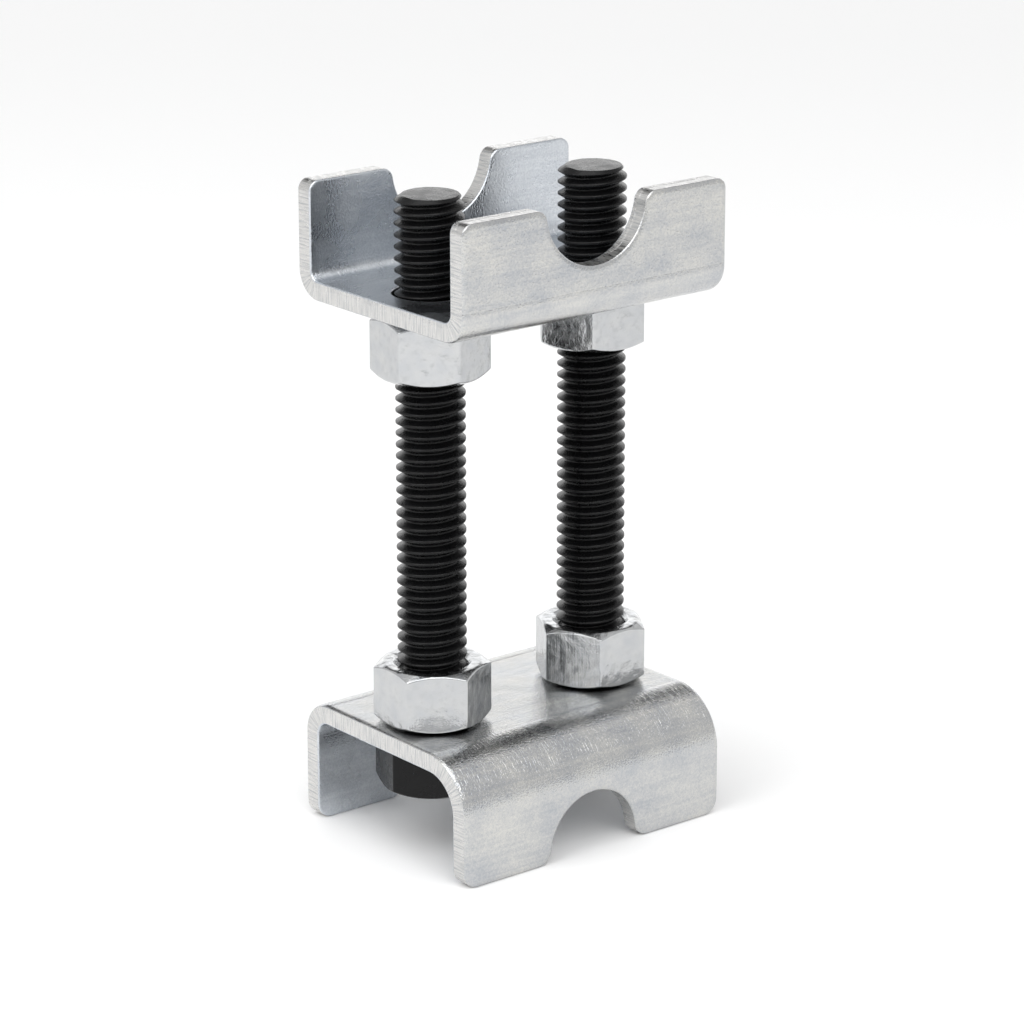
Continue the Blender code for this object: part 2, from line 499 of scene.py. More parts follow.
@dataclass(frozen=True)
class PlateZinc:
    """Bright zinc electroplate on a folded channel of pickled hot-rolled steel.

    The plating is thin and follows the steel: a fine pickled grain, faint rolling lines, stretch
    marks round the folds, and shear marks on the cut edges. The inner faces are painted brighter
    and bluer than the outer ones, as painted reflected light, and are a little rougher.
    """

    name: str
    folds: tuple[float, ...]
    half_length: float
    light: str = "#d0cfcb"
    dark: str = "#adb0b5"
    # Painted reflected light: the inner faces are coloured brighter and bluer than the outer ones
    inner_light: str = "#d7dbdf"
    inner_dark: str = "#b8bdc4"
    cut_light: str = "#d2d1cf"
    cut_dark: str = "#b0b2b4"
    gloss: Point = (0.17, 0.27)
    inner_gloss: Point = (0.22, 0.34)
    cut_gloss: Point = (0.22, 0.4)
    clouds: Pattern = even(7, detail=3.0)
    speckle: Pattern = even(0.34)
    streaks: Pattern = Pattern((26, 0.8, 1))
    mottle_span: Point = (0.36, 0.64)
    speckle_share: float = 0.4
    clouds_share: float = 0.38
    streaks_share: float = 0.22
    grain: Pattern = even(0.34, 0.065)
    rolling: Pattern = Pattern((14, 0.45, 1), 0.008)
    waves: Pattern = Pattern((5, 5, 1), 0.05, 0.0)
    stretch: Pattern = Pattern((0.3, 2.2, 1), 0.12)
    fold_blend: float = MM
    die_line_off: float = 0.6 * MM
    die_line_width: float = 0.22 * MM
    die_line_depth_mm: float = 0.012
    drag: Pattern = Pattern((0.32, 40, 1), 0.02, 0.0)
    drag_reach: float = 3 * MM
    shear: Pattern = Pattern((0.3, 0.3, 5), 0.045)
    shear_span: Point = (0.3, 0.55)
    edge_shine: Pattern = Pattern((0.4, 0.4, 2))
    torn: Pattern = even(0.45, 0.12, 3.0)
    tear_wander: Pattern = Pattern((3, 3, 50))
    tear_swing: float = 2 * MM
    tear_span: Point = (0.3 * MM, 0.7 * MM)

    def material(self) -> bpy.types.Material:
        """Build the material on the sheet's own coordinates, which lie flat as the blank did.

        Returns:
            The material.
        """
        made, tree, shader = new_finish(self.name)
        place = add_node(tree, "ShaderNodeTexCoord").outputs["Object"]
        sheet = add_node(tree, "ShaderNodeAttribute", attribute_name=SHEET).outputs["Vector"]
        cut = add_node(tree, "ShaderNodeAttribute", attribute_name=CUT).outputs["Fac"]
        flat = add_node(tree, "ShaderNodeSeparateXYZ", {"Vector": sheet}).outputs
        clouds = self.clouds.tone(tree, place)
        height = self.face_height(tree, place, sheet, flat)
        edge_height = self.edge_height(tree, place, sheet, flat["Z"])
        height = blend_values(tree, cut, height, edge_height)
        speckle, streaks = self.speckle.tone(tree, place), self.streaks.tone(tree, sheet)
        mottle = reckon(tree, "MULTIPLY", clouds, self.clouds_share)
        mottle = reckon(tree, "MULTIPLY_ADD", speckle, self.speckle_share, mottle)
        mottle = reckon(tree, "MULTIPLY_ADD", streaks, self.streaks_share, mottle)
        mottle = remap(tree, mottle, self.mottle_span, NONE_TO_ALL)
        marks = remap(tree, self.shear.tone(tree, sheet), self.shear_span, NONE_TO_ALL)
        inside = remap(tree, flat["Z"], (-MM, MM), (1.0, 0.0))
        tint = blend_colours(tree, mottle, linear(self.dark), linear(self.light))
        # Painted reflected light: a brighter, bluer colour on the inner faces
        inner_tint = blend_colours(
            tree, mottle, linear(self.inner_dark), linear(self.inner_light)
        )
        tint = blend_colours(tree, inside, tint, inner_tint)
        cut_tint = blend_colours(tree, marks, linear(self.cut_dark), linear(self.cut_light))
        tint = blend_colours(tree, cut, tint, cut_tint)
        outer_gloss = remap(tree, clouds, MID_TONES, self.gloss)
        inner_gloss = remap(tree, clouds, MID_TONES, self.inner_gloss)
        edge_gloss = remap(
            tree, self.edge_shine.tone(tree, sheet), WIDE_TONES, self.cut_gloss
        )
        gloss = blend_values(tree, inside, outer_gloss, inner_gloss)
        gloss = blend_values(tree, cut, gloss, edge_gloss)
        link_up(
            shader,
            tree,
            Metallic=1.0,
            Base_Color=tint,
            Roughness=gloss,
            Normal=raised(tree, height),
        )
        return made

    def face_height(
        self,
        tree: bpy.types.NodeTree,
        place: bpy.types.NodeSocket,
        sheet: bpy.types.NodeSocket,
        flat: bpy.types.bpy_prop_collection,
    ) -> bpy.types.NodeSocket:
        """The relief of the rolled faces, in millimetres.

        Args:
            tree: the material's tree.
            place: coordinates in the frame.
            sheet: coordinates on the blank.
            flat: the blank's coordinates, one by one.

        Returns:
            The height.
        """
        height = reckon(
            tree, "ADD", self.grain.relief(tree, place), self.rolling.relief(tree, sheet)
        )
        height = reckon(tree, "ADD", height, self.waves.relief(tree, sheet))
        stretch = self.stretch.tone(tree, sheet)
        blend, width = self.fold_blend, self.die_line_width
        for start, end in zip(self.folds[::2], self.folds[1::2]):
            middle, reach = (start + end) / 2, (end - start) / 2
            off = reckon(tree, "ABSOLUTE", reckon(tree, "SUBTRACT", flat["Y"], middle))
            depth = (0.0, self.stretch.depth_mm)
            inside = remap(tree, off, (reach + blend, reach - blend), depth, True)
            height = reckon(tree, "MULTIPLY_ADD", stretch, inside, height)
            line = reckon(tree, "SUBTRACT", off, reach + self.die_line_off)
            line = reckon(tree, "ABSOLUTE", line)
            groove = remap(tree, line, (0.0, width), (-self.die_line_depth_mm, 0.0), True)
            height = reckon(tree, "ADD", height, groove)
        end_off = reckon(tree, "ABSOLUTE", flat["X"])
        ends = (self.half_length - self.drag_reach, self.half_length)
        near_end = remap(tree, end_off, ends, (0.0, self.drag.depth_mm))
        return reckon(tree, "MULTIPLY_ADD", self.drag.tone(tree, sheet), near_end, height)

    def edge_height(
        self,
        tree: bpy.types.NodeTree,
        place: bpy.types.NodeSocket,
        sheet: bpy.types.NodeSocket,
        through: bpy.types.NodeSocket,
    ) -> bpy.types.NodeSocket:
        """The relief of the cut edges, in millimetres: shear marks, then a torn band.

        Args:
            tree: the material's tree.
            place: coordinates in the frame.
            sheet: coordinates on the blank and through the plate.
            through: place through the plate.

        Returns:
            The height.
        """
        marks, torn = self.shear.relief(tree, sheet), self.torn.relief(tree, place)
        wander = self.tear_wander.tone(tree, sheet)
        depth = reckon(tree, "MULTIPLY_ADD", wander, self.tear_swing, through)
        share = remap(tree, depth, self.tear_span, (1.0, 0.0), True)
        return blend_values(tree, share, marks, torn)


@dataclass(frozen=True)
class NutZinc:
    """Bright zinc electroplate on nuts, either cut from drawn bar or forged.

    Drawn bar shows fine upright lines. Forging leaves soft hollows, grain and small pits. The
    plating makes them sparkle, and the given depths say how much of each a nut shows.
    """

    name: str
    drawn_depth_mm: float
    grain_depth_mm: float
    dulled: float
    light: str = "#d0d0ce"
    dark: str = "#acafb4"
    pit_colour: str = "#a9abae"
    gloss: Point = (0.14, 0.27)
    clouds: Pattern = even(2.2, detail=3.0)
    grain: Pattern = even(0.36)
    draw_lines: Pattern = Pattern((0.3, 0.3, 6), detail=1.0)
    hollows: Pattern = even(1.6, 0.1, 0.0)
    pits: Pattern = even(1.1, 0.03, 3.0)
    pit_span: Point = (0.46, 0.72)

    def material(self) -> bpy.types.Material:
        """Build the material: grain, upright draw lines and a scatter of small pits.

        Returns:
            The material.
        """
        made, tree, shader = new_finish(self.name)
        place = add_node(tree, "ShaderNodeTexCoord").outputs["Object"]
        clouds = self.clouds.tone(tree, place)
        grain = reckon(tree, "MULTIPLY", self.grain.tone(tree, place), self.grain_depth_mm)
        drawn = self.draw_lines.tone(tree, place)
        pits = remap(
            tree, self.pits.tone(tree, place), self.pit_span, (0.0, self.dulled), True
        )
        height = reckon(tree, "MULTIPLY_ADD", drawn, self.drawn_depth_mm, grain)
        height = reckon(tree, "ADD", height, self.hollows.relief(tree, place))
        height = reckon(tree, "MULTIPLY_ADD", pits, -self.pits.depth_mm, height)
        tint = blend_colours(tree, clouds, linear(self.dark), linear(self.light))
        tint = blend_colours(tree, pits, tint, linear(self.pit_colour))
        link_up(
            shader,
            tree,
            Metallic=1.0,
            Base_Color=tint,
            Roughness=remap(tree, clouds, WIDE_TONES, self.gloss),
            Normal=raised(tree, height),
        )
        return made


@dataclass(frozen=True)
class BlackOxide:
    """Hot black oxide on a rolled bolt, wiped with oil.

    The oxide is a thin dark skin that keeps the steel's satin. Its crests are painted grey, partly as
    rubbed wear and partly as a painted highlight.
    """

    name: str
    colour: str = "#0b0b0c"
    # Grey painted on the crests, partly rubbed wear and partly a painted highlight
    worn: str = "#7d7f82"
    gloss: Point = (0.2, 0.34)
    clouds: Pattern = even(3, detail=3.0)
    patches: Pattern = even(1.4, detail=3.0)
    patch_span: Point = (0.4, 0.62)
    least_rubbed: float = 0.15
    crest_span: Point = (0.9, 1.0)
    most_worn: float = 0.7
    grain: Pattern = even(0.35, 0.05)
    sheen: float = 0.22

    def material(self) -> bpy.types.Material:
        """Build the material: near black, oily in patches, and painted grey on the crests as rubbed
        wear and a painted highlight.

        Returns:
            The material.
        """
        made, tree, shader = new_finish(self.name)
        place = add_node(tree, "ShaderNodeTexCoord").outputs["Object"]
        crest = add_node(tree, "ShaderNodeAttribute", attribute_name=CREST).outputs["Fac"]
        clouds = self.clouds.tone(tree, place)
        # Painted highlight and rubbed wear: grey painted on the thread's crests, in patches
        rubbed = remap(tree, crest, self.crest_span, (0.0, self.most_worn), True)
        patches = remap(
            tree, self.patches.tone(tree, place), self.patch_span, (self.least_rubbed, 1.0)
        )
        rubbed = reckon(tree, "MULTIPLY", rubbed, patches)
        link_up(
            shader,
            tree,
            Metallic=0.0,
            Base_Color=blend_colours(tree, rubbed, linear(self.colour), linear(self.worn)),
            Roughness=remap(tree, clouds, WIDE_TONES, self.gloss),
            Specular_IOR_Level=self.sheen,
            Normal=raised(tree, self.grain.relief(tree, place)),
        )
        return made


# The thread, a node tree shared by bolts and nuts


@dataclass(frozen=True)
class ThreadForm:
    """A 1/2 in thread with 12 right-hand turns to the inch and rounded crests."""

    pitch: float = 25.4 / 12 * MM
    crest: float = 6.25 * MM
    depth: float = 1.3 * MM
    steps_around: int = 72
    steps_per_pitch: int = 16
    merge: float = 0.002 * MM
    flank: Point = (0.125, 0.875)

    def tree(self) -> bpy.types.NodeTree:
        """Build the tree that wraps a grid round an axis as a helical thread.

        Rows of the grid run along the helix. They are held between the two ends, so that each
        end is a clean rim, and there the thread runs out into a cone.

        Returns:
            The tree, whose sizes are named inputs.
        """
        tree = bpy.data.node_groups.new("Helical thread", "GeometryNodeTree")
        tree.is_modifier = True
        face = tree.interface
        for name in ("Pitch", "Crest Radius", "Root Radius", "Low End", "High End"):
            face.new_socket(name, in_out="INPUT", socket_type="NodeSocketFloat")
        for name in ("Start Turn", "Rim Radius", "Rim Slope", "Side"):
            face.new_socket(name, in_out="INPUT", socket_type="NodeSocketFloat")
        for name in ("Steps Around", "Steps Per Pitch"):
            face.new_socket(name, in_out="INPUT", socket_type="NodeSocketInt")
        face.new_socket("Material", in_out="INPUT", socket_type="NodeSocketMaterial")
        face.new_socket("Geometry", in_out="OUTPUT", socket_type="NodeSocketGeometry")
        given = add_node(tree, "NodeGroupInput").outputs

        low = reckon(tree, "DIVIDE", given["Low End"], given["Pitch"])
        high = reckon(tree, "DIVIDE", given["High End"], given["Pitch"])
        first = reckon(tree, "FLOOR", reckon(tree, "SUBTRACT", low, given["Start Turn"]))
        first = reckon(tree, "SUBTRACT", first, 1.0)
        last = reckon(tree, "CEIL", reckon(tree, "SUBTRACT", high, given["Start Turn"]))
        turns = reckon(tree, "SUBTRACT", last, first)
        rows = reckon(tree, "MULTIPLY_ADD", turns, given["Steps Per Pitch"], 1.0)
        columns = reckon(tree, "ADD", given["Steps Around"], 1.0)
        grid = add_node(
            tree,
            "GeometryNodeMeshGrid",
            {"Size X": 1.0, "Size Y": 1.0, "Vertices X": columns, "Vertices Y": rows},
        )
        spot = add_node(tree, "GeometryNodeInputPosition").outputs["Position"]
        split = add_node(tree, "ShaderNodeSeparateXYZ", {"Vector": spot}).outputs
        around = reckon(tree, "ADD", reckon(tree, "ADD", split["X"], 0.5), given["Start Turn"])
        along = reckon(tree, "MULTIPLY_ADD", reckon(tree, "ADD", split["Y"], 0.5), turns, first)
        height = reckon(tree, "MULTIPLY", reckon(tree, "ADD", along, around), given["Pitch"])
        height = reckon(tree, "MINIMUM", height, given["High End"])
        height = reckon(tree, "MAXIMUM", height, given["Low End"])
        phase = reckon(tree, "SUBTRACT", reckon(tree, "DIVIDE", height, given["Pitch"]), around)
        saw = reckon(tree, "MULTIPLY_ADD", reckon(tree, "FRACT", phase), 2.0, -1.0)
        saw = reckon(tree, "ABSOLUTE", saw)
        share = remap(tree, saw, self.flank, NONE_TO_ALL)
        ridge = add_node(
            tree,
            "ShaderNodeMix",
            {"Factor": share, "A": given["Root Radius"], "B": given["Crest Radius"]},
        ).outputs["Result"]
        from_low = reckon(tree, "SUBTRACT", height, given["Low End"])
        from_high = reckon(tree, "SUBTRACT", given["High End"], height)
        from_end = reckon(tree, "MINIMUM", from_low, from_high)
        cone = reckon(tree, "MULTIPLY", given["Rim Radius"], given["Side"])
        cone = reckon(tree, "MULTIPLY_ADD", from_end, given["Rim Slope"], cone)
        ridge = reckon(tree, "MINIMUM", reckon(tree, "MULTIPLY", ridge, given["Side"]), cone)
        radius = reckon(tree, "MULTIPLY", ridge, given["Side"])
        angle = reckon(tree, "MULTIPLY", around, math.tau)
        wrapped = add_node(
            tree,
            "ShaderNodeCombineXYZ",
            {
                "X": reckon(tree, "MULTIPLY", radius, reckon(tree, "COSINE", angle)),
                "Y": reckon(tree, "MULTIPLY", radius, reckon(tree, "SINE", angle)),
                "Z": height,
            },
        )
        flow = add_node(
            tree,
            "GeometryNodeSetPosition",
            {"Geometry": grid.outputs["Mesh"], "Position": wrapped.outputs["Vector"]},
        )
        flow = add_node(
            tree,
            "GeometryNodeStoreNamedAttribute",
            {"Geometry": flow.outputs["Geometry"], "Name": CREST, "Value": share},
            data_type="FLOAT",
            domain="POINT",
        )
        flow = add_node(
            tree,
            "GeometryNodeMergeByDistance",
            {"Geometry": flow.outputs["Geometry"], "Distance": self.merge},
        )
        flow = add_node(tree, "GeometryNodeSetShadeSmooth", {0: flow.outputs[0]})
        flow = add_node(tree, "GeometryNodeRealizeInstances", {0: flow.outputs[0]})
        flow = add_node(
            tree,
            "GeometryNodeSetMaterial",
            {"Geometry": flow.outputs[0], "Material": given["Material"]},
        )
        add_node(tree, "NodeGroupOutput", {0: flow.outputs[0]})
        return tree

    def cut(
        self,
        tree: bpy.types.NodeTree,
        low: float,
        high: float,
        start: float,
        rim: float,
        slope: float,
        inside: bool,
        material: bpy.types.Material,
        slack: float = 0.0,
    ) -> bpy.types.Mesh:
        """Make one threaded surface about the Z axis, open at both ends.

        Args:
            tree: the thread tree.
            low: height of the lower end.
            high: height of the upper end.
            start: angle of the first column, in radians.
            rim: radius at both ends.
            slope: how fast the end cones open, radius over height.
            inside: True for a nut's thread, False for a bolt's.
            material: the finish it gets.
            slack: how much larger than the bolt's thread it is, in radius.

        Returns:
            The surface as a plain mesh.
        """
        side = -1.0 if inside else 1.0
        values = {
            "Pitch": self.pitch,
            "Crest Radius": self.crest + slack,
            "Root Radius": self.crest - self.depth + slack,
            "Low End": low,
            "High End": high,
            "Start Turn": start / math.tau,
            "Rim Radius": rim,
            "Rim Slope": slope,
            "Side": side,
            "Steps Around": self.steps_around,
            "Steps Per Pitch": self.steps_per_pitch,
            "Material": material,
        }
        carrier = bpy.data.objects.new("thread", bpy.data.meshes.new("thread"))
        bpy.context.scene.collection.objects.link(carrier)
        wrap = carrier.modifiers.new("Thread", "NODES")
        wrap.node_group = tree
        for item in tree.interface.items_tree:
            if item.in_out == "INPUT" and item.name in values:
                wrap[item.identifier] = values[item.name]
        bpy.context.view_layer.update()
        graph = bpy.context.evaluated_depsgraph_get()
        surface = bpy.data.meshes.new_from_object(carrier.evaluated_get(graph))
        carrier.modifiers.clear()
        bpy.data.objects.remove(carrier)
        return surface


def open_rims(vertices: list, axis: Vector, heights: Point) -> list[list]:
    """The open rims of a threaded surface, each in order round its axis.

    Args:
        vertices: the surface's vertices.
        axis: any point on the axis, which is upright.
        heights: the rims' heights.

    Returns:
        One loop of vertices for each height.
    """
    rims = []
    for height in heights:
        rim = [v for v in vertices if v.is_boundary and abs(v.co.z - height) < SLIVER]
        rims.append(sorted(rim, key=lambda v: math.atan2(v.co.y - axis.y, v.co.x - axis.x)))
    return rims


# Hexagons


@dataclass
class Hexagon:
    """A hexagonal block about the Z axis with rounded corners and chamfered ends."""

    across: float
    height: float
    turn: float
    corner: float = 0.5 * MM
    edge: float = 0.25 * MM
    chamfer_share: float = 0.955
    chamfer_angle: float = math.radians(30)
    flat_steps: int = 10
    corner_steps: int = 6
    edge_steps: int = 3

    def columns(self) -> list[tuple[float, float]]:
        """The angle and radius of each column round the hexagon.

        Returns:
            Pairs of angle and radius, close together where a corner is rounded.
        """
        half = self.across / 2
        sixth = math.pi / 6
        centre = (half - self.corner) / math.cos(sixth)
        tangent = math.atan((half - self.corner) * math.tan(sixth) / half)
        flats = [tangent * (2 * i / self.flat_steps - 1) for i in range(self.flat_steps + 1)]
        found = []
        for side in range(6):
            middle = self.turn + sixth + side * 2 * sixth
            found += [(middle + a, half / math.cos(a)) for a in flats]
            for i in range(1, self.corner_steps):
                off = (sixth - tangent) * (2 * i / self.corner_steps - 1)
                reach = math.sqrt(self.corner**2 - (centre * math.sin(off)) ** 2)
                found.append((middle + sixth + off, centre * math.cos(off) + reach))
        return found

    def rows(self, radius: float, chamfers: tuple[bool, bool]) -> list[Point]:
        """One column's outline from the lower face's edge to the upper face's.

        Args:
            radius: the hexagon's radius at that column.
            chamfers: whether the lower and upper ends are chamfered.

        Returns:
            Points of radius and height.
        """
        flat = self.across / 2 * self.chamfer_share
        drop = (radius - flat) * math.tan(self.chamfer_angle)
        low, high = (drop if chamfer else 0 for chamfer in chamfers)
        corners = [
            (flat - self.edge * 2, 0),
            (flat, 0),
            (radius, low),
            (radius, self.height - high),
            (flat, self.height),
            (flat - self.edge * 2, self.height),
        ]
        return soften(corners, self.edge, self.edge_steps)

    def build(
        self, shape: bmesh.types.BMesh, base: Vector, chamfers: tuple[bool, bool]
    ) -> tuple[list, list]:
        """Add the hexagon's sides and chamfers to a shape.

        Args:
            shape: the shape to add to.
            base: centre of the lower face.
            chamfers: whether the lower and upper ends are chamfered.

        Returns:
            The open loops of the lower and upper faces.
        """
        columns = self.columns()
        outlines = [self.rows(radius, chamfers) for _, radius in columns]
        loops = []
        for row in range(len(outlines[0])):
            loop = []
            for (angle, _), outline in zip(columns, outlines):
                radius, height = outline[row]
                spot = Vector((radius * math.cos(angle), radius * math.sin(angle), height))
                loop.append(shape.verts.new(base + spot))
            loops.append(loop)
        for lower, upper in zip(loops, loops[1:]):
            band(shape, lower, upper)
        return loops[0], loops[-1]


@dataclass
class Nut:
    """A hexagon nut with a real internal thread and countersunk mouths."""

    node: str
    turn: float
    thread: ThreadForm
    slack: float = 0.1 * MM
    mouth_over: float = 0.85 * MM
    mouth_slope: float = 1.0

    def build(self, tree: bpy.types.NodeTree, material: bpy.types.Material) -> bpy.types.Object:
        """Build the nut in place.

        Args:
            tree: the thread tree.
            material: the nut's finish.

        Returns:
            The finished piece.
        """
        low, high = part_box(self.node)
        axis = (low + high) / 2
        across = hexagon_across(self.node)
        block = Hexagon(across, high.z - low.z, self.turn)
        shape = bmesh.new()
        rim = self.thread.crest + self.slack + self.mouth_over
        surface = self.thread.cut(
            tree,
            low.z,
            high.z,
            self.turn,
            rim,
            self.mouth_slope,
            True,
            material,
            self.slack,
        )
        surface.transform(Matrix.Translation((axis.x, axis.y, 0)))
        shape.from_mesh(surface)
        mouths = open_rims(list(shape.verts), axis, (low.z, high.z))
        base = Vector((axis.x, axis.y, low.z))
        for loop, mouth in zip(block.build(shape, base, (True, True)), mouths):
            fill_flat(shape, [loop, mouth])
        return piece_from(shape, self.node.replace("_", "-"), material)


@dataclass
class Bolt:
    """A hex-head bolt standing on its head, threaded all the way up."""

    node: str
    turn: float
    thread: ThreadForm
    head: float = 8.2 * MM
    tip_radius: float = 5.3 * MM
    tip_slope: float = 0.9

    def build(self, tree: bpy.types.NodeTree, material: bpy.types.Material) -> bpy.types.Object:
        """Build the bolt in place.

        Args:
            tree: the thread tree.
            material: the bolt's finish.

        Returns:
            The finished piece.
        """
        low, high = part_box(self.node)
        axis = (low + high) / 2
        across = hexagon_across(self.node)
        block = Hexagon(across, self.head, self.turn)
        shape = bmesh.new()
        neck = low.z + self.head
        surface = self.thread.cut(
            tree, neck, high.z, 0.0, self.tip_radius, self.tip_slope, False, material
        )
        surface.transform(Matrix.Translation((axis.x, axis.y, 0)))
        shape.from_mesh(surface)
        collar, tip = open_rims(list(shape.verts), axis, (neck, high.z))
        lower, upper = block.build(shape, Vector((axis.x, axis.y, low.z)), (True, False))
        fill_flat(shape, [lower])
        fill_flat(shape, [upper, collar])
        fill_flat(shape, [tip])
        return piece_from(shape, self.node.replace("_", "-"), material)


def hexagon_across(node: str) -> float:
    """A hexagon's size across its flats, from the node's corners.

    Args:
        node: a nut or bolt of the frame.

    Returns:
        The distance between opposite flats.
    """
    low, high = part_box(node)
    axis = (low + high) / 2
    reach = max(
        math.hypot(v.co.x - axis.x, v.co.y - axis.y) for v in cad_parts[node].data.vertices
    )
    return reach * math.sqrt(3)


# Channels


@dataclass
class Channel:
    """A plate with two notched flanges, folded from a flat blank.

    The blank lies with x along the channel and v across it, from the near flange's edge, over
    the web, to the far flange's edge. w runs through the plate, positive on the outer face.
    """

    node: str
    web: WebSide
    near_bend: float
    far_bend: float
    corner: float
    notch: float
    notch_drop: float
    lip: float
    plate: float = 3.7 * MM
    hole: float = 6.75 * MM
    roll_width: float = 1.1 * MM
    roll_depth: float = 0.4 * MM
    burr_edge: float = 0.3 * MM
    burr_steps: int = 3
    roll_steps: int = 6
    bend_steps: int = 18
    notch_steps: int = 48
    corner_steps: int = 10
    hole_steps: int = 72
    least: float = 0.0005 * MM

    def __post_init__(self) -> None:
        """Read the channel's size and place from its node."""
        low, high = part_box(self.node)
        self.low, self.high = low, high
        self.length = high.x - low.x
        self.width = high.y - low.y
        self.height = high.z - low.z
        self.near_arc = (self.near_bend - self.plate / 2) * math.pi / 2
        self.far_arc = (self.far_bend - self.plate / 2) * math.pi / 2
        self.stops = [0.0, self.height - self.near_bend]
        self.stops.append(self.stops[-1] + self.near_arc)
        self.stops.append(self.stops[-1] + self.width - self.near_bend - self.far_bend)
        self.stops.append(self.stops[-1] + self.far_arc)
        self.stops.append(self.stops[-1] + self.height - self.far_bend)

    def flange_edge(self, inset: float) -> list[Point]:
        """The edge of one flange with its notch, from left to right, seen with the edge at v = 0.

        Args:
            inset: how far inside the real edge the line runs.

        Returns:
            Points of x and v.
        """
        end = self.length / 2 - inset
        corner, lip = self.corner - inset, self.lip - inset
        notch = self.notch + inset
        lip_v = self.lip
        spread = math.sqrt((self.notch + self.lip) ** 2 - (self.notch_drop - lip_v) ** 2)
        lean = math.atan2(self.notch_drop - lip_v, spread)
        centre = (end - corner, inset + corner)
        left_corner = arc((-centre[0], centre[1]), corner, math.pi, 1.5 * math.pi, self.corner_steps)
        left_lip = arc(
            (-spread, lip_v), lip, 1.5 * math.pi, math.tau + lean, self.corner_steps
        )
        bottom = arc(
            (0, self.notch_drop), notch, math.pi + lean, -lean, self.notch_steps
        )[1:-1]
        right_lip = [(-x, v) for x, v in reversed(left_lip)]
        right_corner = [(-x, v) for x, v in reversed(left_corner)]
        return left_corner + left_lip + bottom + right_lip + right_corner

    def outline(self, inset: float) -> list[Point]:
        """The blank's closed outline, a given distance inside its real edge.

        Args:
            inset: that distance.

        Returns:
            Points of x and v.
        """
        near = self.flange_edge(inset)
        far = [(x, self.stops[-1] - v) for x, v in reversed(near)]
        return near + far

    def bolt_holes(self, inset: float, spacing: float) -> list[list[Point]]:
        """The two bolt holes' outlines, a given distance outside their walls.

        Args:
            inset: that distance.
            spacing: distance between the bolts.

        Returns:
            One outline for each hole, as points of x and v.
        """
        middle = self.stops[2] + self.width / 2 - self.near_bend
        return [
            arc((x, middle), self.hole + inset, 0, math.tau, self.hole_steps)[:-1]
            for x in (-spacing / 2, spacing / 2)
        ]

    def edge_profile(self) -> list[Point]:
        """The plate's edge in section, as inset and w, from the inner face to the outer face.

        The outer edge is rolled over by the punch, and the inner edge is crisp.

        Returns:
            Points of inset and w.
        """
        half = self.plate / 2
        centre = (self.burr_edge, self.burr_edge - half)
        crisp = arc(centre, self.burr_edge, 1.5 * math.pi, math.pi, self.burr_steps)
        turns = [math.pi / 2 * i / self.roll_steps for i in range(self.roll_steps + 1)]
        rolled = [
            (
                self.roll_width * (1 - math.cos(a)),
                half - self.roll_depth * (1 - math.sin(a)),
            )
            for a in turns
        ]
        return crisp + rolled

    def folded(self, x: float, v: float, w: float) -> Vector:
        """Where a point of the flat blank lies once the plate is folded.

        Args:
            x: place along the channel.
            v: place across the blank.
            w: place through the plate.

        Returns:
            The point in the frame.
        """
        half = self.plate / 2
        near_y, far_y = -self.width / 2, self.width / 2
        stops = self.stops
        if v <= stops[1]:
            y, z, out = near_y + half, self.height - v, (-1.0, 0.0)
        elif v < stops[2]:
            a = (v - stops[1]) / (self.near_bend - half)
            out = (-math.cos(a), -math.sin(a))
            y = near_y + self.near_bend + (self.near_bend - half) * out[0]
            z = self.near_bend + (self.near_bend - half) * out[1]
        elif v <= stops[3]:
            y, z, out = near_y + self.near_bend + v - stops[2], half, (0.0, -1.0)
        elif v < stops[4]:
            a = (v - stops[3]) / (self.far_bend - half)
            out = (math.sin(a), -math.cos(a))
            y = far_y - self.far_bend + (self.far_bend - half) * out[0]
            z = self.far_bend + (self.far_bend - half) * out[1]
        else:
            y, z, out = far_y - half, self.far_bend + v - stops[4], (1.0, 0.0)
        y, z = y + out[0] * w, z + out[1] * w
        if self.web is WebSide.TOP:
            return Vector((x, y, self.high.z - z))
        return Vector((x, y, self.low.z + z))

    def build(self, spacing: float, material: bpy.types.Material) -> bpy.types.Object:
        """Build the channel in place.

        Args:
            spacing: distance between the bolts.
            material: the channel's finish.

        Returns:
            The finished piece.
        """
        shape = bmesh.new()
        sheet = shape.verts.layers.float_vector.new(SHEET)
        cut = shape.faces.layers.float.new(CUT)
        loops_inner, loops_outer = [], []
        profile = self.edge_profile()
        for which in range(3):
            rings = []
            for inset, w in profile:
                if which == 0:
                    points = self.outline(inset)
                else:
                    points = self.bolt_holes(inset, spacing)[which - 1]
                rings.append([shape.verts.new((x, v, w)) for x, v in points])
            for lower, upper, step in zip(rings, rings[1:], zip(profile, profile[1:])):
                wall = all(abs(inset) < self.least for inset, _ in step)
                for face in band(shape, lower, upper):
                    face[cut] = float(wall)
            loops_inner.append(rings[0])
            loops_outer.append(rings[-1])
        fill_flat(shape, loops_inner)
        fill_flat(shape, loops_outer)
        for first, second in ((1, 2), (3, 4)):
            start, end = self.stops[first], self.stops[second]
            for i in range(self.bend_steps + 1):
                v = start + (end - start) * i / self.bend_steps
                bmesh.ops.bisect_plane(
                    shape,
                    geom=shape.verts[:] + shape.edges[:] + shape.faces[:],
                    dist=self.least,
                    plane_co=(0, v, 0),
                    plane_no=(0, 1, 0),
                )
        for vertex in shape.verts:
            vertex[sheet] = vertex.co
            vertex.co = self.folded(*vertex.co)
        return piece_from(shape, self.node.replace("_", "-"), material)


# The studio


def toward(azimuth: float, elevation: float) -> Vector:
    """A unit direction.

    Args:
        azimuth: degrees round the Z axis, anticlockwise from +X.
        elevation: degrees above the floor.

    Returns:
        The direction.
    """
    round_z, up = math.radians(azimuth), math.radians(elevation)
    return Vector(
        (math.cos(up) * math.cos(round_z), math.cos(up) * math.sin(round_z), math.sin(up))
    )


